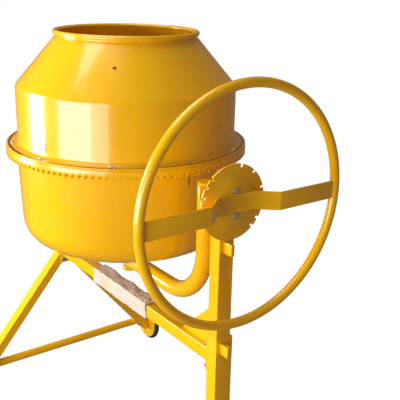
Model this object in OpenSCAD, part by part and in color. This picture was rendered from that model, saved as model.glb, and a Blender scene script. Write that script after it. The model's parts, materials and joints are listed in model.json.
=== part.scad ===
// Tilting-drum concrete mixer on a wheeled A-frame, with a handwheel that tips the drum.
// The origin is on the floor, under the middle of the machine's box. +X points at the handwheel,
// -Y is the front, +Z is up. Units are millimetres.

/* [Drum] */
// Outer radius of the straight upper wall
drum_r = 317; // [310:1:319]
// Outer radius of the bolted flange between the two drum halves
flange_r = 350; // [346:1:352]
// Height of the flange joint above the floor
seam_z = 995; // [990:1:1000]
// Height of the straight upper wall above the joint
wall_h = 166; // [150:1:180]
// Height of the mouth's rim above the joint
mouth_h = 318.5; // [300:0.5:330]
// Outer radius of the mouth's rolled rim
mouth_r = 208.5; // [200:0.5:215]
// Depth of the lower bowl below the joint
bowl_h = 294; // [288:1:296]
// Thickness of the drum's sheet
sheet_t = 3; // [2:0.5:3]

/* [Drive] */
// Number of teeth on the drum's crown gear
ring_teeth = 120; // [120]
// Number of teeth on the pinion
pinion_teeth = 12; // [12]
// Radius of the large belt pulley
pulley_r = 65.5; // [60:0.5:66]
// Radius of the motor's pulley
small_pulley_r = 12.5; // [12:0.5:14]

/* [Yoke and handwheel] */
// Height of the tilt axis above the floor
tilt_z = 937; // [936:0.5:938]
// Outer radius of the yoke's pipe
yoke_r = 24; // [22:0.5:24]
// Distance from the drum's axis to the middle of each yoke arm
yoke_arm_x = 395; // [393:1:396]
// Depth of the yoke's bottom run below the joint
yoke_drop = 386; // [384:1:390]
// Radius of the handwheel, to the middle of its tube
wheel_ring_r = 303.5; // [290:0.5:306]
// Radius of the handwheel's tube
wheel_tube_r = 12.5; // [11:0.5:13]
// Radius of the notched locking disc
disc_r = 99; // [90:1:100]

/* [Frame] */
// Distance from the drum's axis to the outer face of each post
post_out_x = 487; // [486:1:488]
// Width of the square tube along the beam
tube_w = 40; // [40]
// Depth of the posts, front to back
post_d = 46; // [44:1:48]
// Height of the beam's underside above the floor
beam_z = 466; // [462:1:468]
// Radius of the transport wheels
road_wheel_r = 75; // [70:1:78]
// Half the distance between the two legs at the height of the axle
leg_spread = 338; // [334:1:340]

/* [Hidden] */
$fn = 64;

// Colours
paint = [1, 0.76, 0.02];
zinc = [0.72, 0.73, 0.75];
steel = [0.45, 0.46, 0.48];
black = [0.08, 0.08, 0.09];

// Where the drum's axis stands from the origin, so that the origin is under the box's middle
cover_out_x = 661;
bezel_t = 4.5;
wheel_x = 556;
button_out = 3;
drum_x = (cover_out_x + bezel_t + button_out - wheel_x - wheel_tube_r) / 2;

// Frame
wall_t = 3;
post_in_x = post_out_x - tube_w;
post_half = post_d / 2;
post_join_z = seam_z - 445;
post_top_z = tilt_z + 45;
leg_extra = 8;
beam_top_z = beam_z + tube_w;
flange_t = 5;
flange_z = [beam_z - 27, beam_top_z + 34];
bolt_y = 15;
bolt_zs = [beam_z - 12, beam_top_z + 15];
m10_hole_r = 5.3;
m10_shank_r = 5;
m10_head_r = 9.2;
m10_head_h = 6.5;
plate_t = 8;
plate_half = [60, 34];
leg_top_z = 484;
leg_d = 30;
leg_angle = atan2(leg_top_z - road_wheel_r, leg_spread);
leg_end_y = 350;
axle_r = 10;
tie_r = 14;
tie_z = 92;
tie_half = leg_spread - (tie_z - road_wheel_r) / tan(leg_angle);
stub_in_y = 319;
road_wheel_y = 354;
road_wheel_w = 28;
axle_half = 394;
pin_y = 388;
foot_half = 200;
foot_z = 6;
guide_zs = [815, 525];
guide_size = [34, 10, 32];
guide_t = 2.5;
guide_y = -7;

// Trunnions and handwheel
near_shaft_r = 15;
far_shaft_r = 16;
far_bore_r = 12;
near_bush_r = 19;
far_bush_r = 19.5;
running = 0.05;
yoke_z = seam_z - yoke_drop;
yoke_bend_r = 158;
yoke_wall = 3.2;
yoke_top_z = tilt_z + 26;
disc_x = 501;
disc_t = 5;
boss_r = 52;
boss_x = 513;
hub_bolt_z = 33;
notch_angles = [76, 48, 16, -34, -49, -86, 134, 149, 165];
notch_size = [9, 6.5];
spoke_t = 5;
spoke_half = 24;
spoke_in_y = 55;
spoke_out_y = 107;
spoke_end_y = wheel_ring_r - wheel_tube_r + 3;
spoke_out_x = 562;

// Drum
bowl_top_r = 322;
bowl_low_r = 313.5;
bowl_corner_r = 76;
bowl_z = seam_z - bowl_h;
ring_in_r = 324;
ring_out_r = 351;
ring_h = 23.5;
tooth_depth = 8.5;
tooth_gap = 8;
hub_r = 45;
hub_flange_r = 85;
hub_low_z = bowl_z - 46;
bearing_r = 31;
bearing_w = 16;
drum_axle_r = 15;
screw_count = 10;
screw_first = -38;
screw_r = 333;

// Drive
pinion_x = [-348, -328];
pinion_root_r = 29;
pinion_tip_r = 38;
shaft_r = 8;
belt_x = [-533, -517];
belt_t = 4;
motor_at = [110, -110];
motor_r = 60;
motor_x = [-642, -549];
motor_shaft_r = 7;
plate_x = [-504, -500];
cover_y = [-73, 190];
cover_z = [-215, 78];
cover_round = 28;
cover_t = 3;
switch_at = [95, 20];
button_r = 9;
button_gap = 26;

// Parts that stand at the drum's axis are drawn about x = 0 and set there
module place() translate([drum_x, 0, 0]) children();
module box(lo, hi) translate(lo) cube(hi - lo);
module rod_x(x0, x1, r) translate([min(x0, x1), 0, 0]) rotate([0, 90, 0])
    cylinder(h = abs(x1 - x0), r = r);
module rod_y(y0, y1, r) translate([0, y1, 0]) rotate([90, 0, 0]) cylinder(h = y1 - y0, r = r);
module rod_z(z0, z1, r) translate([0, 0, z0]) cylinder(h = z1 - z0, r = r);
module turn_x() rotate([0, 90, 0]) rotate_extrude() children();
function arc(c, r, a0, a1, n = 8) =
    [for (i = [0:n]) c + r * [cos(a0 + (a1 - a0) * i / n), sin(a0 + (a1 - a0) * i / n)]];
function reversed(list) = [for (i = [len(list) - 1:-1:0]) list[i]];

// ---- Frame ----

// Square tube of the frame between two corners, with its bore along the axis given by open
module hollow(lo, hi, open) difference() {
    box(lo, hi);
    box(lo + wall_t * ([1, 1, 1] - open) - open, hi - wall_t * ([1, 1, 1] - open) + open);
}

module cross_beam() color(paint) place()
    hollow([-post_in_x + flange_t, -tube_w / 2, beam_z], [post_in_x - flange_t, tube_w / 2, beam_top_z],
        [1, 0, 0]);

module beam_bolt_places() for (side = [-1, 1], y = [-bolt_y, bolt_y], z = bolt_zs)
    translate([side * post_in_x, y, z]) rotate([0, side < 0 ? 180 : 0, 0]) children();

module beam_flanges() color(paint) place() difference() {
    for (side = [0, 1]) mirror([side, 0, 0])
        box([post_in_x - flange_t, -post_half, flange_z[0]], [post_in_x, post_half, flange_z[1]]);
    beam_bolt_places() rod_x(-flange_t - 1, 1, m10_hole_r);
}

module beam_bolts() color(zinc) place() beam_bolt_places() {
    rod_x(-flange_t, 12, m10_shank_r);
    translate([-flange_t - m10_head_h, 0, 0]) rotate([0, 90, 0])
        cylinder(h = m10_head_h, r = m10_head_r, $fn = 6);
}

module near_gusset() color(paint) place() translate([0, 2.5, 0]) rotate([90, 0, 0]) linear_extrude(5)
    polygon([[post_in_x - 142, beam_top_z], [post_in_x - flange_t, beam_top_z],
        [post_in_x - flange_t, flange_z[1]], [post_in_x, flange_z[1]], [post_in_x, beam_top_z + 132]]);

module post_bolt_holes(side) for (y = [-bolt_y, bolt_y], z = bolt_zs)
    translate([side * post_in_x, y, z]) rod_x(-wall_t - 1, wall_t + 1, m10_hole_r);

module near_leg() color(paint) place() difference() {
    hollow([post_in_x, -post_half, foot_z + tube_w], [post_out_x, post_half + leg_extra, post_join_z],
        [0, 0, 0]);
    post_bolt_holes(1);
}

module near_post() color(paint) place() difference() {
    hollow([post_in_x, -post_half, post_join_z], [post_out_x, post_half, post_top_z], [0, 0, 0]);
    translate([0, 0, tilt_z]) rod_x(post_in_x - 1, post_out_x + 1, near_bush_r);
}

module near_foot() color(paint) place()
    hollow([post_in_x, -foot_half, foot_z], [post_out_x, foot_half, foot_z + tube_w], [0, 1, 0]);

module foot_pads() color(black) place() for (side = [0, 1]) mirror([0, side, 0]) {
    box([post_in_x - 2, foot_half - 55, 0], [post_out_x + 2, foot_half + 6, foot_z]);
    box([post_in_x - 2, foot_half, foot_z], [post_out_x + 2, foot_half + 6, foot_z + tube_w + 2]);
}

module guide_loops() color(paint) place() for (z = guide_zs) translate([post_out_x, guide_y, z]) difference() {
    box([0, -guide_size[1] / 2, -guide_size[2] / 2], [guide_size[0], guide_size[1] / 2, guide_size[2] / 2]);
    box([-1, -guide_size[1] / 2 + guide_t, -guide_size[2]],
        [guide_size[0] - guide_t, guide_size[1] / 2 - guide_t, guide_size[2]]);
}

module bearing_plates() color(paint) place() translate([0, 0, tilt_z]) {
    difference() {
        box([post_in_x - plate_t, -plate_half[0], -plate_half[1]], [post_in_x, plate_half[0], plate_half[1]]);
        rod_x(post_in_x - plate_t - 1, post_in_x + 1, near_bush_r);
    }
    difference() {
        box([-post_in_x, -plate_half[0], -plate_half[1]],
            [-post_in_x + plate_t, plate_half[0], plate_half[1]]);
        rod_x(-post_in_x - 1, -post_in_x + plate_t + 1, far_bush_r);
    }
}

// Flanged bush, from the bearing plate's inner face to just past the post's outer face
module bush(outer_r, inner_r) difference() {
    union() {
        rod_x(post_in_x - plate_t, post_out_x + 3, outer_r - running);
        rod_x(post_out_x, post_out_x + 3, outer_r + 6);
    }
    rod_x(post_in_x - plate_t - 1, post_out_x + 4, inner_r);
}

module trunnion_bushes() color(black) place() translate([0, 0, tilt_z]) {
    bush(near_bush_r, near_shaft_r + running);
    mirror([1, 0, 0]) bush(far_bush_r, far_shaft_r + running);
}

// The space under the legs' upper faces, where the far post stands on them
module roof_cut() translate([-post_out_x - 1, 0, leg_top_z + leg_d / 2 / cos(leg_angle)])
    rotate([90, 0, 90]) linear_extrude(tube_w + 2)
        polygon([[0, 0], [60, -60 * tan(leg_angle)], [-60, -60 * tan(leg_angle)]]);

module far_post() color(paint) place() difference() {
    hollow([-post_out_x, -post_half, leg_top_z - 6], [-post_in_x, post_half, post_top_z], [0, 0, 0]);
    roof_cut();
    translate([0, 0, tilt_z]) rod_x(-post_out_x - 1, -post_in_x + 1, far_bush_r);
    post_bolt_holes(-1);
}

// Rear leg's bar from its top over y = 0 down to the axle and past it, grown by extra on each face
module leg_bar(extra) translate([0, 0, leg_top_z]) rotate([-leg_angle, 0, 0])
    box([-post_out_x - extra, -40, -leg_d / 2 - extra], [-post_in_x + extra, 640, leg_d / 2 + extra]);

module leg_solid() intersection() {
    leg_bar(0);
    box([-600, 0, road_wheel_r - 26], [-300, leg_end_y, 600]);
}

module rear_leg_shape() difference() {
    leg_solid();
    intersection() {
        leg_bar(-wall_t);
        box([-600, wall_t, road_wheel_r - 23], [-300, leg_end_y - wall_t, 600]);
    }
    translate([-post_out_x + tube_w / 2, 0, road_wheel_r]) rod_y(stub_in_y, 400, axle_r + running);
    translate([-post_in_x, bolt_y, bolt_zs[0]]) rod_x(-13, wall_t + 1, m10_hole_r);
}

module rear_leg() color(paint) place() rear_leg_shape();
module front_leg() color(paint) place() mirror([0, 1, 0]) rear_leg_shape();

module tie_bar() color(paint) place() difference() {
    translate([-post_out_x + tube_w / 2, 0, tie_z]) difference() {
        rod_y(-tie_half, tie_half, tie_r);
        rod_y(-tie_half - 1, tie_half + 1, tie_r - wall_t);
    }
    leg_bar(0);
    mirror([0, 1, 0]) leg_bar(0);
}

module wheel_axle() color(steel) place() translate([-post_out_x + tube_w / 2, 0, road_wheel_r])
    for (side = [0, 1]) mirror([0, side, 0]) difference() {
        rod_y(stub_in_y, axle_half, axle_r);
        translate([0, pin_y, -20]) rod_z(0, 40, 2.2);
    }

module wheel_washers() color(zinc) place() translate([-post_out_x + tube_w / 2, 0, road_wheel_r])
    for (side = [0, 1]) mirror([0, side, 0]) for (y = [leg_end_y + 0.9, road_wheel_y + road_wheel_w + 0.5])
        difference() {
            rod_y(y, y + 2.5, 17);
            rod_y(y - 1, y + 4, axle_r + 0.1);
        }

module split_pins() color(zinc) place() translate([-post_out_x + tube_w / 2, 0, road_wheel_r])
    for (y = [-pin_y, pin_y]) translate([0, y, 0]) {
        rod_z(-16, 12, 2);
        translate([0, 0, 15.6]) rotate([90, 0, 0]) rotate_extrude() translate([3.5, 0]) circle(1.5, $fn = 16);
    }

module film_wrap() color([0.9, 0.84, 0.78]) place() difference() {
    box([-192, -tube_w / 2 - 6, beam_z - 8], [136, tube_w / 2 + 6, beam_top_z + 7]);
    box([-193, -tube_w / 2 - 0.5, beam_z - 0.5], [137, tube_w / 2 + 0.5, beam_top_z + 0.5]);
}

// ---- Tilting yoke ----

module pipe_path(r) {
    for (side = [0, 1]) mirror([side, 0, 0]) {
        translate([yoke_arm_x, 0, 0]) rod_z(yoke_z + yoke_bend_r, yoke_top_z, r);
        translate([yoke_arm_x - yoke_bend_r, 0, yoke_z + yoke_bend_r]) rotate([90, 0, 0]) rotate([0, 0, -90])
            rotate_extrude(angle = 90) translate([yoke_bend_r, 0]) circle(r);
    }
    translate([0, 0, yoke_z]) rod_x(-yoke_arm_x + yoke_bend_r, yoke_arm_x - yoke_bend_r, r);
}

module yoke_pipe() color(paint) place() difference() {
    pipe_path(yoke_r);
    difference() {
        pipe_path(yoke_r - yoke_wall);
        for (side = [-1, 1]) translate([side * yoke_arm_x, 0, 0])
            rod_z(yoke_top_z - yoke_wall, yoke_top_z + 1, yoke_r);
    }
    translate([0, 0, tilt_z]) {
        rod_x(yoke_arm_x - 30, yoke_arm_x + 30, near_shaft_r);
        rod_x(-yoke_arm_x - 30, -yoke_arm_x + 30, far_shaft_r);
    }
    rod_z(yoke_z - 30, yoke_z + 30, drum_axle_r);
}

module near_trunnion() color(steel) place() translate([0, 0, tilt_z]) difference() {
    union() {
        rod_x(yoke_arm_x - yoke_r, disc_x + disc_t, near_shaft_r);
        rod_x(disc_x + disc_t, boss_x - disc_t, 46);
    }
    for (z = [-hub_bolt_z, hub_bolt_z]) translate([0, 0, z]) rod_x(disc_x, boss_x, m10_hole_r);
}

module far_trunnion() color(steel) place() translate([0, 0, tilt_z]) difference() {
    rod_x(plate_x[0], -yoke_arm_x + yoke_r, far_shaft_r);
    rod_x(plate_x[0] - 1, -yoke_arm_x + yoke_r + 1, far_bore_r);
}

module lock_disc() color(paint) place() translate([0, 0, tilt_z]) difference() {
    turn_x() polygon([[disc_r, disc_x], [disc_r, disc_x + disc_t], [boss_r + 12, disc_x + disc_t],
        [boss_r + 2, boss_x], [0, boss_x], [0, boss_x - disc_t], [boss_r - 2, boss_x - disc_t],
        [boss_r + 4, disc_x]]);
    for (a = notch_angles) rotate([a, 0, 0])
        box([disc_x - 1, disc_r - notch_size[0], -notch_size[1] / 2],
            [disc_x + disc_t + 1, disc_r + 2, notch_size[1] / 2]);
    for (z = [-hub_bolt_z, hub_bolt_z]) translate([0, 0, z]) rod_x(disc_x, boss_x + 1, m10_hole_r);
}

module ring_shape() translate([wheel_x, 0, tilt_z]) turn_x()
    translate([wheel_ring_r, 0]) circle(wheel_tube_r);
module wheel_rim() color(paint) place() ring_shape();

// Half of the bent spoke's edge, from its middle to the rim
spoke_half_edge = [[boss_x + spoke_t, spoke_in_y], [spoke_out_x, spoke_out_y], [spoke_out_x, spoke_end_y],
    [spoke_out_x - spoke_t, spoke_end_y], [spoke_out_x - spoke_t, spoke_out_y + 1.5],
    [boss_x, spoke_in_y + 2.5]];

module wheel_spoke() color(paint) place() difference() {
    translate([0, 0, tilt_z - spoke_half]) linear_extrude(2 * spoke_half)
        polygon(concat(spoke_half_edge, [for (p = reversed(spoke_half_edge)) [p[0], -p[1]]]));
    ring_shape();
}

module spoke_bolts() color(zinc) place() for (z = [-hub_bolt_z, hub_bolt_z]) translate([0, 0, tilt_z + z]) {
    rod_x(disc_x - 4, boss_x, m10_shank_r);
    for (x = [boss_x, disc_x - 2]) translate([x, 0, 0]) rotate([0, 90, 0]) rotate([0, 0, 30])
        cylinder(h = 7, r = m10_head_r, $fn = 6);
}

module drum_axle() color(steel) place() {
    rod_z(yoke_z - yoke_r - 13, bowl_z + 18, drum_axle_r);
    rod_z(yoke_z + yoke_r + 1, hub_low_z - 1, drum_axle_r + 9);
    rod_z(yoke_z + yoke_r + 1, hub_low_z + 4.5, drum_axle_r + 4);
}

module axle_nuts() color(paint) place() for (z = [yoke_z - yoke_r - 13, bowl_z + 0.5]) translate([0, 0, z])
    difference() {
        cylinder(h = 13, r = 20, $fn = 6);
        rod_z(-1, 14, drum_axle_r);
    }

// ---- Motor unit on the yoke's far end ----

// Rounded outline of the motor cover in its own plane, pulled in by d
module cover_outline(d) {
    lo = [cover_y[0] + d, cover_z[0] + d];
    hi = [cover_y[1] - d, cover_z[1] - d];
    r = cover_round - d;
    translate([lo[0] + r, lo[1]]) square([hi[0] - lo[0] - 2 * r, hi[1] - lo[1]]);
    translate([lo[0], lo[1] + r]) square([hi[0] - lo[0], hi[1] - lo[1] - 2 * r]);
    for (y = [lo[0] + r, hi[0] - r], z = [lo[1] + r, hi[1] - r]) translate([y, z]) circle(r);
}

// Stands a drawing made in Y and Z upright between two X values
module upright(x0, x1) translate([x0, 0, tilt_z]) rotate([90, 0, 90]) linear_extrude(x1 - x0) children();

module motor_plate() color(paint) place() difference() {
    upright(plate_x[0], plate_x[1]) cover_outline(cover_t + 0.3);
    translate([0, 0, tilt_z]) rod_x(plate_x[0] - 1, plate_x[1] + 1, far_shaft_r);
}

module motor_cover() color(paint) place() difference() {
    upright(-cover_out_x, plate_x[1]) cover_outline(0);
    upright(-cover_out_x + cover_t, plate_x[1] + 1) cover_outline(cover_t);
    for (i = [-2:2]) translate([0, motor_at[0], tilt_z + motor_at[1] + 14 * i])
        box([-cover_out_x - 1, -36, -2.5], [-cover_out_x + cover_t + 1, 36, 2.5]);
    translate([0, switch_at[0], tilt_z + switch_at[1]])
        box([-cover_out_x - 1, -18, -33], [-cover_out_x + cover_t + 1, 18, 33]);
    translate([-590, 0, tilt_z - 120]) rod_y(cover_y[1] - 10, cover_y[1] + 1, 18);
}

module motor_bracket() color(zinc) place() {
    difference() {
        translate([-546, motor_at[0], tilt_z + motor_at[1]]) box([0, -62, -62], [3, 62, 62]);
        translate([0, motor_at[0], tilt_z + motor_at[1]]) rod_x(-560, -530, 20);
    }
    for (y = [-54, 54], z = [-54, 54])
        translate([0, motor_at[0] + y, tilt_z + motor_at[1] + z]) rod_x(-543, plate_x[0], 5);
}

module cover_screws() color(zinc) place()
    for (y = [cover_y[0] + 16, cover_y[1] - 16], z = [cover_z[0] + 16, cover_z[1] - 16])
        translate([0, y, tilt_z + z]) rod_x(-cover_out_x - 3, -cover_out_x, 5);

module motor_body() color(steel) place() translate([0, motor_at[0], tilt_z + motor_at[1]]) difference() {
    union() {
        rod_x(motor_x[0] + 10, motor_x[1] - 10, motor_r);
        rod_x(motor_x[0], motor_x[1] + 3, motor_r - 8);
    }
    rod_x(motor_x[0] - 1, motor_x[1] + 4, motor_shaft_r + running);
}

module drive_belt() color(black) place() translate([belt_x[0] + 1, 0, tilt_z]) rotate([90, 0, 90])
    linear_extrude(belt_x[1] - belt_x[0] - 2) difference() {
        hull() {
            circle(pulley_r - 1);
            translate(motor_at) circle(small_pulley_r + 2);
        }
        hull() {
            circle(pulley_r - 1 - belt_t);
            translate(motor_at) circle(small_pulley_r + 2 - belt_t);
        }
    }

module pinion_bearings() color(steel) place() translate([0, 0, tilt_z])
    for (x = [plate_x[0], -yoke_arm_x + yoke_r - 16]) difference() {
        rod_x(x, x + 16, far_bore_r - 0.05);
        rod_x(x - 1, x + 17, shaft_r + running);
    }

module switch_bezel() color(black) place() translate([0, switch_at[0], tilt_z + switch_at[1]]) difference() {
    union() {
        box([-cover_out_x - bezel_t, -22, -37], [-cover_out_x, 22, 37]);
        box([-cover_out_x, -17, -32], [-cover_out_x + 26, 17, 32]);
    }
    for (z = [-button_gap / 2, button_gap / 2]) translate([0, 0, z])
        rod_x(-cover_out_x - bezel_t - 1, -cover_out_x + 18, button_r + 0.3);
}

module power_inlet() color(black) place() translate([-590, 0, tilt_z - 120]) {
    difference() {
        union() {
            rod_y(cover_y[1] - 14, cover_y[1], 17.5);
            rod_y(cover_y[1], cover_y[1] + 3, 26);
            rod_y(cover_y[1] + 3, cover_y[1] + 28, 21);
        }
        rod_y(cover_y[1] - 6, cover_y[1] + 29, 17);
    }
    for (a = [90, 210, 330]) translate([8 * cos(a), 0, 8 * sin(a)])
        rod_y(cover_y[1] - 6, cover_y[1] + 12, 2.4);
}

// ---- Drum ----

bowl_outer = concat([[bowl_top_r, seam_z - sheet_t]],
    arc([bowl_low_r - bowl_corner_r, bowl_z + bowl_corner_r], bowl_corner_r, 0, -90),
    [[bearing_r + 1, bowl_z]]);
bowl_inner = concat([[bearing_r + 1, bowl_z + sheet_t]],
    arc([bowl_low_r - bowl_corner_r, bowl_z + bowl_corner_r], bowl_corner_r - sheet_t, -90, 0),
    [[bowl_top_r - sheet_t, seam_z], [flange_r, seam_z], [flange_r, seam_z - sheet_t]]);

module hub_bolt_places() for (a = [0:60:300])
    rotate([0, 0, a]) translate([hub_flange_r - 15, 0, 0]) children();

module lower_bowl() color(paint) place() difference() {
    rotate_extrude($fn = 128) polygon(concat(bowl_outer, bowl_inner));
    box([bowl_low_r - 20, -3.5, seam_z - 64], [bowl_top_r + 10, 3.5, seam_z - 36]);
    hub_bolt_places() rod_z(bowl_z - 1, bowl_z + 9, 4.3);
}

cone_top = [mouth_r - 8, mouth_h - 12];
cone_angle = atan2(cone_top[1] - wall_h, cone_top[0] - drum_r) - 90;

// Upper drum's section: outer and inner lines, where d is the distance in from the outside
function cone_side(d) = concat(
    arc([drum_r - 14, wall_h - 6], 14 - d, 0, cone_angle, 6),
    [[cone_top[0] - d, cone_top[1] - 4], [cone_top[0] - d, cone_top[1]]]);

module upper_drum() color(paint) place() translate([0, 0, seam_z]) difference() {
    union() {
        rotate_extrude($fn = 128) polygon(concat(
            [[flange_r, 0.2], [flange_r, sheet_t]], arc([drum_r + 10, sheet_t + 10], 10, -90, -180, 5),
            cone_side(0), reversed(cone_side(sheet_t)), [[drum_r - sheet_t, 0.2]]));
        rotate_extrude($fn = 128) translate([mouth_r - 7, mouth_h - 7]) circle(7, $fn = 32);
    }
    rotate([0, 0, -37.7]) translate([256, 0, 246]) rotate([0, 52, 0]) rod_z(-20, 20, 5);
    rotate([0, 0, -73]) box([drum_r - 10, -1.8, 19], [drum_r + 5, 1.8, 43]);
}

module gear_ring() color(paint) place() translate([0, 0, seam_z - sheet_t - 0.2]) difference() {
    rod_z(-ring_h, 0, ring_out_r);
    rod_z(-ring_h - 1, 1, ring_in_r);
    for (i = [0:ring_teeth - 1]) rotate([0, 0, 360 / ring_teeth * i])
        box([ring_in_r - 10, -tooth_gap / 2, -ring_h - 1],
            [ring_out_r + 10, tooth_gap / 2, -ring_h + tooth_depth]);
}

module flange_screws() color(zinc) place()
    for (i = [0:screw_count - 1]) rotate([0, 0, screw_first + 360 / screw_count * i])
        translate([screw_r, 0, seam_z + sheet_t]) cylinder(h = 3, r = 5.5, $fn = 6);

module drum_hub() color(paint) place() difference() {
    union() {
        rod_z(hub_low_z, bowl_z - 8, hub_r);
        rod_z(bowl_z - 8, bowl_z, hub_flange_r);
    }
    rod_z(hub_low_z + 5, bowl_z + 1, bearing_r);
    rod_z(hub_low_z - 1, hub_low_z + 6, drum_axle_r + 6);
    hub_bolt_places() rod_z(bowl_z - 9, bowl_z + 1, 4.3);
}

module hub_bearings() color(steel) place() for (z = [hub_low_z + 5, bowl_z - bearing_w]) difference() {
    rod_z(z, z + bearing_w, bearing_r - 0.05);
    rod_z(z - 1, z + bearing_w + 1, drum_axle_r + running);
}

module hub_cap() color(paint) place() translate([0, 0, bowl_z + sheet_t]) rotate_extrude()
    polygon([[34, 0], [54, 0], [54, 3], [40, 4], [36, 30], [22, 38], [0, 40], [0, 36], [20, 34], [32, 28]]);

module drum_bolts() color(zinc) place() hub_bolt_places() {
    rod_z(bowl_z - 8, bowl_z + sheet_t, 4);
    translate([0, 0, bowl_z - 13]) cylinder(h = 5, r = 7.4, $fn = 6);
    translate([0, 0, bowl_z + sheet_t]) cylinder(h = 6, r = 7.4, $fn = 6);
}

// Bent mixing paddle: an upright bar whose two ends turn out to the drum's wall
module blade_shape() translate([0, 0, seam_z]) rotate([90, 0, 0]) linear_extrude(6) polygon([
    [311, -190], [258, -175], [240, -120], [240, 60], [262, 118], [313, 132], [313, 106], [278, 94],
    [266, 50], [266, -110], [280, -150], [311, -160]]);

module front_blade() color(steel) place() rotate([0, 0, -60]) blade_shape();
module rear_blade() color(steel) place() rotate([0, 0, 120]) blade_shape();

// ---- Drive ----

tooth_edge = [[28, -3.4], [32, -2.5], [pinion_tip_r, -1.4], [pinion_tip_r, 1.4], [32, 2.5], [28, 3.4]];

module pinion_gear() color(steel) place() upright(pinion_x[0], pinion_x[1]) difference() {
    union() {
        circle(pinion_root_r);
        for (i = [0:pinion_teeth - 1]) rotate(360 / pinion_teeth * i) polygon(tooth_edge);
    }
    circle(shaft_r);
}

module pinion_shaft() color(steel) place() translate([0, 0, tilt_z])
    rod_x(belt_x[0] - 6, pinion_x[1], shaft_r);

// Grooved pulley with its bore on the X axis
module pulley(r, bore, x0, x1) difference() {
    union() {
        rod_x(x0, x1, r - belt_t - 1.6);
        rod_x(x0 - 1.5, x0 + 0.5, r + 1);
        rod_x(x1 - 0.5, x1 + 1.5, r + 1);
    }
    rod_x(x0 - 3, x1 + 3, bore);
}

module large_pulley() color(steel) place() translate([0, 0, tilt_z])
    pulley(pulley_r, shaft_r, belt_x[0], belt_x[1]);

module motor_shaft() color(steel) place() translate([0, motor_at[0], tilt_z + motor_at[1]])
    rod_x(motor_x[0] - 12, belt_x[1] + 4, motor_shaft_r);

module small_pulley() color(steel) place() translate([0, motor_at[0], tilt_z + motor_at[1]])
    pulley(small_pulley_r + 3, motor_shaft_r, belt_x[0], belt_x[1]);

module motor_fan() color(black) place() translate([0, motor_at[0], tilt_z + motor_at[1]]) difference() {
    union() {
        rod_x(motor_x[0] - 4, motor_x[0] - 2, 48);
        rod_x(motor_x[0] - 12, motor_x[0] - 2, 14);
        for (a = [0:60:300]) rotate([a, 0, 0]) box([motor_x[0] - 12, 12, -1.5], [motor_x[0] - 3, 46, 1.5]);
    }
    rod_x(motor_x[0] - 20, motor_x[0], motor_shaft_r);
}

// ---- Transport wheels ----

module at_road_wheel(side) place() translate([-post_out_x + tube_w / 2, 0, road_wheel_r]) mirror([0, side, 0])
    translate([0, road_wheel_y + road_wheel_w / 2, 0]) rotate([90, 0, 0]) children();

module tyre() rotate_extrude($fn = 96) difference() {
    union() {
        translate([60, -7]) square([8, 14]);
        translate([road_wheel_r - 9.5, 0]) circle(9.5);
    }
    translate([45, -20]) square([15.3, 40]);
}

rim_edge = [[axle_r + running, road_wheel_w / 2], [20, road_wheel_w / 2], [22, 5], [51, 3], [54, 12],
    [65, 12], [65, 10], [60, 10]];
module rim() rotate_extrude($fn = 96)
    polygon(concat(rim_edge, [for (p = reversed(rim_edge)) [p[0], -p[1]]]));

module front_tyre() color(black) at_road_wheel(1) tyre();
module front_wheel() color(paint) at_road_wheel(1) rim();
module rear_tyre() color(black) at_road_wheel(0) tyre();
module rear_wheel() color(paint) at_road_wheel(0) rim();

// ---- Switch buttons ----

module button(z) place() translate([0, switch_at[0], tilt_z + switch_at[1] + z])
    rod_x(-cover_out_x - bezel_t - button_out, -cover_out_x + 12, button_r);
module start_button() color([0.1, 0.5, 0.2]) button(button_gap / 2);
module stop_button() color([0.75, 0.08, 0.06]) button(-button_gap / 2);

cross_beam();
beam_flanges();
beam_bolts();
near_gusset();
near_leg();
near_post();
near_foot();
foot_pads();
guide_loops();
bearing_plates();
trunnion_bushes();
far_post();
front_leg();
rear_leg();
tie_bar();
wheel_axle();
wheel_washers();
split_pins();
film_wrap();
yoke_pipe();
near_trunnion();
far_trunnion();
lock_disc();
wheel_rim();
wheel_spoke();
spoke_bolts();
drum_axle();
axle_nuts();
motor_plate();
motor_bracket();
motor_cover();
cover_screws();
motor_body();
drive_belt();
pinion_bearings();
switch_bezel();
power_inlet();
lower_bowl();
upper_drum();
gear_ring();
flange_screws();
drum_hub();
hub_bearings();
hub_cap();
drum_bolts();
front_blade();
rear_blade();
pinion_gear();
pinion_shaft();
large_pulley();
motor_shaft();
small_pulley();
motor_fan();
front_tyre();
front_wheel();
rear_tyre();
rear_wheel();
start_button();
stop_button();
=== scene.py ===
# %% [markdown]
# # A tilting-drum concrete mixer
# The machine's frame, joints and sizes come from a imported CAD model. This notebook gives it its
# looks: glossy yellow powder coat, rounded sheet and tube, and the creased film that is still
# wound round the cross beam. Everything is in metres, in the CAD's frame.

import json
import math

import bmesh
import bpy
from mathutils import Matrix, Vector
from mathutils import noise as field


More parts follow.
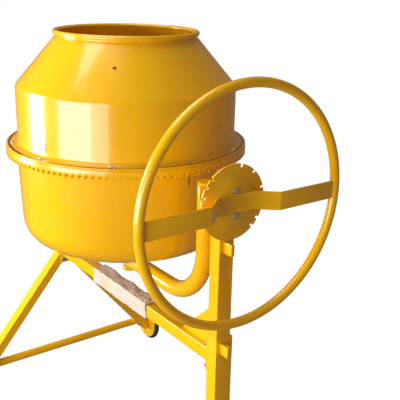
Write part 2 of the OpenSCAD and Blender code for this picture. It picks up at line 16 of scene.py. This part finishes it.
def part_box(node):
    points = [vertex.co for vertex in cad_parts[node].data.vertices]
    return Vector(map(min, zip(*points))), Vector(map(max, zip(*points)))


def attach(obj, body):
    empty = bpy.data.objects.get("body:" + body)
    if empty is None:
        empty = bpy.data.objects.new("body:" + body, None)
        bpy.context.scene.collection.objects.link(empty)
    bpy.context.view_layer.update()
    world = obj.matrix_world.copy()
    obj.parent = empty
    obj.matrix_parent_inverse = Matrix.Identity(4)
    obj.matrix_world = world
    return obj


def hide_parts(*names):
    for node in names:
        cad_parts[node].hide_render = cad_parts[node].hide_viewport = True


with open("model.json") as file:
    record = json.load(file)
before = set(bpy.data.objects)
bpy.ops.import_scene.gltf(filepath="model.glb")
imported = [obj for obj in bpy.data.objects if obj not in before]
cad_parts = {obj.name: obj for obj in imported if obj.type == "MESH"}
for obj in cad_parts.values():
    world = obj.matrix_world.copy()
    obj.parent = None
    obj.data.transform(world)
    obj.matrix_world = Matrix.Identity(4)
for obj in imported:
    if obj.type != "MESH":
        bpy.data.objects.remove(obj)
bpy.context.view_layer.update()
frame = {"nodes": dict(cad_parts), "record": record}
AXIS_X, SEAM_Z = 0.05, 0.995

# %% [markdown]
# ## Camera
# The camera is set first, so that every later choice is judged from the place it is seen from.
# Its place and turn are given as a compass angle, a height angle and a small roll, because those
# are the numbers that a photographer would note. A look-at constraint would work as well, but it
# can't hold the roll.

# %% The camera
CAMERA_AT = Vector((1.84036, -1.06013, 1.49346))
CAMERA_AZIMUTH = math.radians(53.29)
CAMERA_HEIGHT = math.radians(18.35)
CAMERA_ROLL = math.radians(1.37)
CAMERA_LENS = 64.02

back = Vector((
    math.sin(CAMERA_AZIMUTH) * math.cos(CAMERA_HEIGHT),
    -math.cos(CAMERA_AZIMUTH) * math.cos(CAMERA_HEIGHT),
    math.sin(CAMERA_HEIGHT),
))
level_right = (-back).cross(Vector((0, 0, 1))).normalized()
level_up = level_right.cross(-back)
right = level_right * math.cos(CAMERA_ROLL) + level_up * math.sin(CAMERA_ROLL)
up = level_up * math.cos(CAMERA_ROLL) - level_right * math.sin(CAMERA_ROLL)

camera_data = bpy.data.cameras.new("camera")
camera_data.lens = CAMERA_LENS
camera_data.sensor_width = 36
camera_data.clip_start = 0.05
camera_data.clip_end = 200
camera = bpy.data.objects.new("camera", camera_data)
turn = Matrix((right, up, back)).transposed()
camera.matrix_world = Matrix.Translation(CAMERA_AT) @ turn.to_4x4()
bpy.context.scene.collection.objects.link(camera)
bpy.context.scene.camera = camera
print("camera at", [round(v, 3) for v in camera.location])

# %% [markdown]
# ## Floor and light
# A studio shot on white. A paper floor and a far paper wall all round fill every view with white.
# They glow by themselves, and only the camera sees them: they light nothing and are mirrored in
# nothing, as if dark flags stood round the machine. Lighting a real sheet would work as well, but
# its bounce washes out the deep yellow of the lower sides. Two tall softboxes stand to the left and
# right of the front. They are area lights, because their soft-edged rectangles are what a glossy
# coat shows as its highlights. A wide, weak lamp at the front lifts the bowl. The sides away from
# the lamps are left to a dim warm background, which gives the yellow its ochre shade.

# %% Floor, lamps and background
FLOOR_HALF = 100
WALL_RADIUS = 90
WALL_HEIGHT = 80
DRUM_FRONT = (0.05, 0, 1.05)


def link(obj):
    bpy.context.scene.collection.objects.link(obj)
    return obj


def paper_sheet(name, make, **size):
    """A stage sheet from one bmesh operator, seen by the camera but not by the lamps or the paint."""
    mesh = bpy.data.meshes.new(name)
    bm = bmesh.new()
    make(bm, **size)
    bm.to_mesh(mesh)
    bm.free()
    obj = link(bpy.data.objects.new(name, mesh))
    obj.visible_glossy = False
    obj.visible_diffuse = False
    obj.visible_shadow = False
    return obj


floor = paper_sheet("floor", bmesh.ops.create_grid, x_segments=1, y_segments=1, size=FLOOR_HALF)
wall = paper_sheet("wall", bmesh.ops.create_cone, cap_ends=False, segments=96,
                   radius1=WALL_RADIUS, radius2=WALL_RADIUS, depth=WALL_HEIGHT)


def lamp(name, place, aim, size, power):
    """A rectangular area light at place, turned to shine at aim."""
    data = bpy.data.lights.new(name, "AREA")
    data.shape = "RECTANGLE"
    data.size, data.size_y = size
    data.energy = power
    obj = link(bpy.data.objects.new(name, data))
    obj.location = place
    obj.rotation_mode = "QUATERNION"
    obj.rotation_quaternion = (Vector(aim) - Vector(place)).to_track_quat("-Z", "Y")
    return obj


lamp("left_softbox", (-1.6, -2.1, 1.25), DRUM_FRONT, (0.95, 1.8), 72)
lamp("right_softbox", (1.54, -2.38, 1.15), DRUM_FRONT, (1.0, 1.6), 20)
lamp("front_fill", (0.5, -3.6, 0.8), (0.1, 0, 0.7), (2.2, 1.2), 76)
lamp("top_softbox", (-0.6, -0.6, 4.0), (0, 0, 1.0), (2.0, 2.0), 52)

world = bpy.data.worlds.new("studio")
bpy.context.scene.world = world
world.use_nodes = True
background = world.node_tree.nodes["Background"].inputs
background["Color"].default_value = (1.0, 0.72, 0.48, 1)
background["Strength"].default_value = 0.24
bpy.context.scene.view_settings.view_transform = "Standard"

# %% [markdown]
# ## Writing a material as sums
# A shader is a graph of nodes, which is slow to read when it is made one link at a time. A small
# class that wraps a socket lets the maths be written as it is said: `mask * 0.2 + 0.3`. Numbers
# go through Math nodes. Colours have their own mix, because a Math node would turn them grey.

# %% A socket that does sums
class Wave:
    """One output socket of a node tree, with arithmetic that adds Math nodes."""

    def __init__(self, tree, socket):
        self.tree, self.socket = tree, socket

    def made(self, operation, a, b):
        return node(self.tree, "ShaderNodeMath", {"operation": operation}, {0: a, 1: b})

    def __add__(self, other):
        return self.made("ADD", self, other)

    def __mul__(self, other):
        return self.made("MULTIPLY", self, other)

    def __sub__(self, other):
        return self.made("SUBTRACT", self, other)

    def __rsub__(self, other):
        return self.made("SUBTRACT", other, self)

    __radd__, __rmul__ = __add__, __mul__


def node(tree, kind, settings=None, values=None, out=0):
    """Adds a node, gives it its settings, then its sockets' values or links, and returns its output."""
    made = tree.nodes.new(kind)
    for key, value in (settings or {}).items():
        if key == "stops":
            ramp = made.color_ramp.elements
            while len(ramp) < len(value):
                ramp.new(0.5)
            for stop, (place, colour) in zip(ramp, value):
                stop.position, stop.color = place, colour
        else:
            setattr(made, key, value)
    for key, value in (values or {}).items():
        if isinstance(value, Wave):
            tree.links.new(value.socket, made.inputs[key])
        else:
            made.inputs[key].default_value = value
    return Wave(tree, made.outputs[out])


def grey(value):
    return (value, value, value, 1)


def mix(tree, share, a, b):
    """Colour a where share is 0, and colour b where it is 1."""
    return node(tree, "ShaderNodeMix", {"data_type": "RGBA"}, {0: share, 6: a, 7: b}, out=2)


def noise(tree, place, scale, detail=3.0, roughness=0.5):
    return node(tree, "ShaderNodeTexNoise", {}, {
        "Vector": place, "Scale": scale, "Detail": detail, "Roughness": roughness})


def steps(tree, value, low, high):
    """0 below low, 1 above high, and straight between."""
    return node(tree, "ShaderNodeMapRange", {"clamp": True}, {
        "Value": value, "From Min": low, "From Max": high})


def bump(tree, height, strength, distance):
    return node(tree, "ShaderNodeBump", {}, {"Strength": strength, "Distance": distance, "Height": height})


def material(name, build, **fixed):
    """A material whose shader has the fixed values, with build(tree, place) giving the varying ones."""
    made = bpy.data.materials.new(name)
    made.use_nodes = True
    tree = made.node_tree
    shader = tree.nodes["Principled BSDF"]
    for key, value in fixed.items():
        shader.inputs[key.replace("_", " ")].default_value = value
    place = node(tree, "ShaderNodeTexCoord", out=3)
    for key, value in build(tree, place).items():
        tree.links.new(value.socket, shader.inputs[key])
    return made


print("shader helpers ready")

# %% [markdown]
# ## Finishes
# The yellow is a thick glossy powder coat. Powder melts into a film that is never quite flat, so
# it has a fine orange-peel bump, and its colour drifts a little. Dust dulls its gloss in patches.
# The zinc on the bolts is grey with a soft bloom. The tyre is matt and faintly dusty.

# %% The powder coat
def powder_coat(tree, place):
    drift = noise(tree, place, 3.0, 4.0)
    handled = noise(tree, place, 14.0, 6.0, 0.65)
    peel = noise(tree, place, 420.0, 2.0)
    dust = steps(tree, handled, 0.54, 0.74)
    colour = mix(tree, drift, (0.98, 0.56, 0.001, 1), (0.92, 0.49, 0.001, 1))
    colour = mix(tree, dust * 0.05, colour, (0.75, 0.50, 0.06, 1))
    return {
        "Base Color": colour,
        "Roughness": dust * 0.14 + drift * 0.06 + 0.20,
        "Normal": bump(tree, peel, 0.10, 0.0006),
    }


yellow = material("yellow_paint", powder_coat, Coat_Weight=0.7, Coat_Roughness=0.07)


def seam_shade_coat(tree, place):
    """Powder coat with painted shade: a dark ring where the gap near the flange's outer edge lies."""
    coat = powder_coat(tree, place)
    x = node(tree, "ShaderNodeSeparateXYZ", {}, {0: place}, out=0) - AXIS_X
    y = node(tree, "ShaderNodeSeparateXYZ", {}, {0: place}, out=1)
    distance = (x * x + y * y).made("POWER", x * x + y * y, 0.5)
    patch_noise = noise(tree, place, 30.0, 3.0)
    # Painted shade: the gap's dark ring, with its strength varied by patch noise.
    line = steps(tree, distance, 0.3375, 0.3385) * (1 - steps(tree, distance, 0.3445, 0.3455))
    dark = line * (patch_noise * 0.3 + 0.80)
    coat["Base Color"] = mix(tree, dark, coat["Base Color"], (0.035, 0.018, 0.004, 1))
    return coat


yellow_with_seam_shade = material("yellow_paint_seam", seam_shade_coat, Coat_Weight=0.7, Coat_Roughness=0.07)


# %% Zinc, machined steel and castings
def plated(tree, place):
    bloom = noise(tree, place, 60.0, 5.0, 0.6)
    scuff = noise(tree, place, 300.0, 3.0)
    return {
        "Base Color": mix(tree, bloom, (0.50, 0.51, 0.54, 1), (0.72, 0.73, 0.74, 1)),
        "Roughness": bloom * 0.25 + 0.22,
        "Normal": bump(tree, scuff, 0.15, 0.0004),
    }


def turned(tree, place):
    lathe_way = node(tree, "ShaderNodeMapping", {}, {"Vector": place, "Scale": (30, 1, 1)})
    marks = noise(tree, lathe_way, 60.0, 4.0)
    stain = noise(tree, place, 18.0, 5.0, 0.6)
    return {
        "Base Color": mix(tree, stain, (0.36, 0.35, 0.34, 1), (0.55, 0.55, 0.56, 1)),
        "Roughness": marks * 0.22 + 0.20,
        "Normal": bump(tree, marks, 0.12, 0.0004),
    }


def cast(tree, place):
    grain = noise(tree, place, 260.0, 5.0, 0.7)
    patch = noise(tree, place, 22.0, 4.0)
    return {
        "Base Color": mix(tree, patch, (0.055, 0.055, 0.058, 1), (0.13, 0.125, 0.12, 1)),
        "Roughness": grain * 0.25 + 0.48,
        "Normal": bump(tree, grain, 0.45, 0.0008),
    }


def casing(tree, place):
    grain = noise(tree, place, 300.0, 4.0)
    return {
        "Base Color": mix(tree, grain, (0.30, 0.31, 0.33, 1), (0.42, 0.43, 0.45, 1)),
        "Roughness": grain * 0.2 + 0.36,
        "Normal": bump(tree, grain, 0.2, 0.0006),
    }


def blade_skin(tree, place):
    scale = noise(tree, place, 30.0, 7.0, 0.65)
    rust = steps(tree, noise(tree, place, 9.0, 6.0, 0.7), 0.56, 0.72)
    steel = mix(tree, scale, (0.16, 0.15, 0.145, 1), (0.36, 0.35, 0.34, 1))
    return {
        "Base Color": mix(tree, rust * 0.6, steel, (0.20, 0.085, 0.035, 1)),
        "Roughness": scale * 0.25 + rust * 0.25 + 0.30,
        "Normal": bump(tree, scale, 0.25, 0.0012),
    }


zinc = material("zinc", plated, Metallic=0.95)
machined = material("machined_steel", turned, Metallic=0.95)
cast_grey = material("cast_grey", cast, Metallic=0.35)
motor_casing = material("motor_casing", casing, Metallic=0.7)
blade_steel = material("blade_steel", blade_skin, Metallic=0.8)


# %% Plastics, rubber and film
def moulded(dark, light, low, high):
    """Moulded plastic or rubber between two colours, with a fine spark-eroded grain."""
    def build(tree, place):
        grain = noise(tree, place, 700.0, 3.0)
        patch_noise = noise(tree, place, 24.0, 5.0, 0.6)
        return {
            "Base Color": mix(tree, patch_noise, dark, light),
            "Roughness": patch_noise * (high - low) + low,
            "Normal": bump(tree, grain, 0.25, 0.0004),
        }
    return build


def film(tree, place):
    """Cloudy packing film, double in places, creased across its winding, with painted shade in the
    creases.
    """
    long_way = node(tree, "ShaderNodeMapping", {}, {"Vector": place, "Scale": (6, 26, 26)})
    crease = noise(tree, long_way, 3.2, 8.0, 0.68)
    cloud = noise(tree, place, 16.0, 4.0)
    shows = steps(tree, cloud, 0.48, 0.72)
    # Painted shade and light: the colour follows the crease height, darker in the troughs and lighter on
    # the crests.
    white = mix(tree, crease, (0.54, 0.44, 0.36, 1), (0.84, 0.76, 0.70, 1))
    return {
        "Base Color": mix(tree, shows * 0.38, white, (0.86, 0.56, 0.20, 1)),
        "Roughness": crease * 0.3 + 0.22,
        "Normal": bump(tree, crease, 0.55, 0.004),
    }


black_plastic = material("black_plastic", moulded(grey(0.012), grey(0.022), 0.42, 0.62))
belt_rubber = material("belt_rubber", moulded(grey(0.010), grey(0.018), 0.6, 0.85))
tyre_rubber = material("tyre_rubber", moulded(grey(0.012), (0.032, 0.031, 0.029, 1), 0.55, 0.8))
start_green = material("start_green", moulded((0.01, 0.22, 0.05, 1), (0.02, 0.28, 0.07, 1), 0.25, 0.4))
stop_red = material("stop_red", moulded((0.50, 0.012, 0.01, 1), (0.60, 0.02, 0.015, 1), 0.25, 0.4))
wrap_film = material("wrap_film", film, Coat_Weight=0.3)


def floor_paper(tree, place):
    fibre = noise(tree, place, 40.0, 4.0)
    return {"Base Color": mix(tree, fibre, grey(0.16), grey(0.18)), "Roughness": fibre * 0.1 + 0.8}


paper = material("floor_paper", floor_paper, Emission_Color=grey(1.0), Emission_Strength=0.97)
floor.data.materials.append(paper)
wall.data.materials.append(paper)
SLOT_FINISH = {
    "yellow_paint": yellow, "zinc": zinc, "machined_steel": machined, "cast_grey": cast_grey,
    "motor_casing": motor_casing, "blade_steel": blade_steel, "black_plastic": black_plastic,
    "belt_rubber": belt_rubber, "tyre_rubber": tyre_rubber, "wrap_film": wrap_film,
    "start_green": start_green, "stop_red": stop_red,
}
print("finishes", len(SLOT_FINISH))

# %% [markdown]
# ## Giving the CAD nodes their finishes
# The record says which finish each node takes. The CAD meshes keep their shape, so only the
# material in their slot changes.

# %% Finishes onto the CAD nodes
slot_of = {s["node"]: s["material_slot"] for s in frame["record"]["subparts"]}
for name, obj in frame["nodes"].items():
    obj.data.materials.clear()
    obj.data.materials.append(SLOT_FINISH[slot_of[name]])
print("nodes finished", len(slot_of))

# %% [markdown]
# ## Rounding a CAD piece
# Real sheet and tube have no knife edges: a saw cut is filed, a tube's corners are rolled, and
# thick powder rounds them further. A modifier could bevel every edge by one width, but a tube's
# long corners need a bigger radius than its cut ends. So a copy of the CAD mesh is merged, its
# flat triangles are joined, and each set of edges gets its own bevel. The copy then stands in
# for the CAD node, and moves with its body.

# %% The helpers for rounded pieces
bodies = frame["record"]["behaviour"]["bodies"]
body_of = {name: body for body, names in bodies.items() for name in names}


def finished(name, bm, finish, body, nodes, angle=32):
    """Makes a bmesh into a smooth-shaded piece that rides a body in place of its CAD nodes."""
    bmesh.ops.recalc_face_normals(bm, faces=bm.faces)
    mesh = bpy.data.meshes.new(name)
    bm.to_mesh(mesh)
    bm.free()
    mesh.shade_smooth()
    mesh.set_sharp_from_angle(angle=math.radians(angle))
    mesh.materials.append(finish)
    obj = link(bpy.data.objects.new(name, mesh))
    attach(obj, body)
    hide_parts(*nodes)
    return obj


def merged(node_name):
    """A CAD node's mesh as one connected skin, with its flat triangles joined into faces."""
    source = frame["nodes"][node_name]
    bm = bmesh.new()
    bm.from_mesh(source.data)
    bm.transform(source.matrix_world)
    bmesh.ops.remove_doubles(bm, verts=bm.verts, dist=2e-6)
    bmesh.ops.dissolve_limit(bm, angle_limit=math.radians(0.6), verts=bm.verts, edges=bm.edges)
    return bm


def bevel(bm, edges, width, segments):
    bmesh.ops.bevel(bm, geom=edges, offset=width, offset_type="OFFSET", segments=segments,
                    profile=0.5, affect="EDGES", clamp_overlap=True, material=-1)


def corners(bm, turn=28, longer=0.0, outward=False):
    """The edges where the surface turns by more than a given number of degrees."""
    return [e for e in bm.edges if len(e.link_faces) == 2 and e.calc_length() > longer
            and e.calc_face_angle(0) > math.radians(turn) and (e.is_convex or not outward)]


def stand_in(node_name, suffix, bm):
    """The finished piece for one CAD node, with that node's finish and body."""
    finish = SLOT_FINISH[slot_of[node_name]]
    return finished(node_name + suffix, bm, finish, body_of[node_name], [node_name])


def softened(node_name, width=0.0006, long_width=0.0, longer=0.12):
    """A CAD node's copy, with its long corners rounded by long_width and the others by width."""
    bm = merged(node_name)
    if long_width:
        bevel(bm, corners(bm, longer=longer), long_width, 4)
    bevel(bm, corners(bm, turn=40, longer=width * 3, outward=True), width, 2)
    return stand_in(node_name, "_soft", bm)


print("rounding helpers ready")

# %% [markdown]
# ## Frame tubes and plates
# Square tube is rolled, so its long corners have a radius near its wall's thickness. The plates
# are cut with a torch or a press and only lose their burr.

# %% Tubes with rolled corners, plates with eased edges
for name in ("cross_beam", "near_post", "near_leg", "near_foot", "far_post", "front_leg", "rear_leg"):
    softened(name, 0.0007, 0.003)
for name in ("beam_flanges", "near_gusset", "guide_loops", "bearing_plates", "lock_disc", "wheel_spoke"):
    softened(name, 0.0009)
for name in ("beam_bolts", "spoke_bolts", "axle_nuts", "flange_screws", "wheel_washers", "near_trunnion"):
    softened(name, 0.0006)
print("frame pieces rounded")

# %% [markdown]
# ## The drum
# Both halves are spun or pressed from sheet, so each change of direction is a curve, not a
# crease. The edges round the drum are told from the rest by their height and their distance from
# the drum's axis, and each ring gets the radius that sheet of this thickness takes. The halves
# meet at a flange, whose two rims are eased so that a dark seam shows between them. A dark ring
# of painted shade on the upper flange darkens that seam further.

# %% Upper and lower drum halves
def ring_edges(bm, low, high, near, far):
    """The sharp edges that lie between two heights over the seam and two distances from the axis."""
    found = []
    for edge in corners(bm, turn=9):
        middle = (edge.verts[0].co + edge.verts[1].co) / 2
        distance = math.hypot(middle.x - AXIS_X, middle.y)
        level = abs(edge.verts[0].co.z - edge.verts[1].co.z) < 0.0008
        if level and low < middle.z - SEAM_Z < high and near < distance < far:
            found.append(edge)
    return found


def drum_half(name, rings, finish):
    bm = merged(name)
    for low, high, near, far, radius in rings:
        found = ring_edges(bm, low, high, near, far)
        print(name, "ring of", len(found), "edges")
        bevel(bm, found, radius, 5)
    return finished(name + "_sheet", bm, finish, "drum", [name], angle=38)


shoulder = (0.15, 0.18, 0.29, 0.33, 0.009)
upper_rim = (-0.001, 0.004, 0.34, 0.36, 0.0009)
drum_half("upper_drum", [shoulder, upper_rim], yellow_with_seam_shade)
lower_rim = (-0.004, 0.001, 0.34, 0.36, 0.0009)
drum_half("lower_bowl", [lower_rim], yellow)
for name in ("gear_ring", "drum_hub", "hub_cap", "drum_bolts", "front_blade", "rear_blade"):
    softened(name, 0.0007)
print("drum ready")

# %% [markdown]
# ## Drive, covers and small pieces
# The gear teeth are cast and the cover is pressed, so all of their edges are eased, the cover's
# more than the rest. The bent pipe, the handwheel's ring, the tyres and the wheel discs are
# already round in the CAD model. They only need smooth shading, so that a highlight runs along
# them without steps.

# %% Covers, gears and turned pieces
softened("motor_cover", 0.0016)
for name in ("motor_plate", "motor_bracket", "motor_body", "pinion_gear", "large_pulley", "cover_screws",
             "switch_bezel", "power_inlet", "foot_pads", "drum_axle", "start_button", "stop_button"):
    softened(name, 0.0005)


def smoothed(node_name):
    bm = merged(node_name)
    return stand_in(node_name, "_smooth", bm)


for name in ("wheel_rim", "yoke_pipe", "tie_bar", "wheel_axle",
             "front_tyre", "rear_tyre", "front_wheel", "rear_wheel"):
    smoothed(name)
print("turned pieces ready")

# %% [markdown]
# ## Film on the cross beam
# The beam is still wound in packing film. A flat box would read as a sleeve, so the film's mesh
# is cut finely and pushed in and out by seeded noise that is stretched across the beam, which
# gives the slack folds that winding leaves. It lies tight on the beam, so it isn't a free sheet.
# A cloth run would make the same folds, at more cost and with no way to keep them on the beam.

# %% Creased film
film_bm = merged("film_wrap")
bevel(film_bm, corners(film_bm, longer=0.2), 0.005, 4)


def run_along_beam(edge):
    return abs(edge.verts[0].co.x - edge.verts[1].co.x)


long_edges = [e for e in film_bm.edges if run_along_beam(e) > 0.2]
bmesh.ops.subdivide_edges(film_bm, edges=long_edges, cuts=150, use_grid_fill=True)
bmesh.ops.triangulate(film_bm, faces=[f for f in film_bm.faces if len(f.verts) > 4])
across = [e for e in film_bm.edges if run_along_beam(e) < 0.001 and e.calc_length() > 0.02]
bmesh.ops.subdivide_edges(film_bm, edges=across, cuts=12, use_grid_fill=True)
film_bm.normal_update()
film_low, film_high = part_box("film_wrap")
film_mid = (Vector(film_low) + Vector(film_high)) / 2
for vert in film_bm.verts:
    outer = max(abs(vert.co.y - film_mid.y) / (film_high[1] - film_mid.y),
                abs(vert.co.z - film_mid.z) / (film_high[2] - film_mid.z))
    if outer > 0.93:
        slant = Vector((vert.co.x * 26 + vert.co.z * 9, vert.co.y * 22, vert.co.z * 22))
        fold = field.fractal(slant, 0.7, 2.1, 4, noise_basis="PERLIN_ORIGINAL")
        vert.co += vert.normal * (0.0035 * fold - 0.0012)
finished("film_wrap_creased", film_bm, wrap_film, "stand", ["film_wrap"], angle=70)
print("film ready")
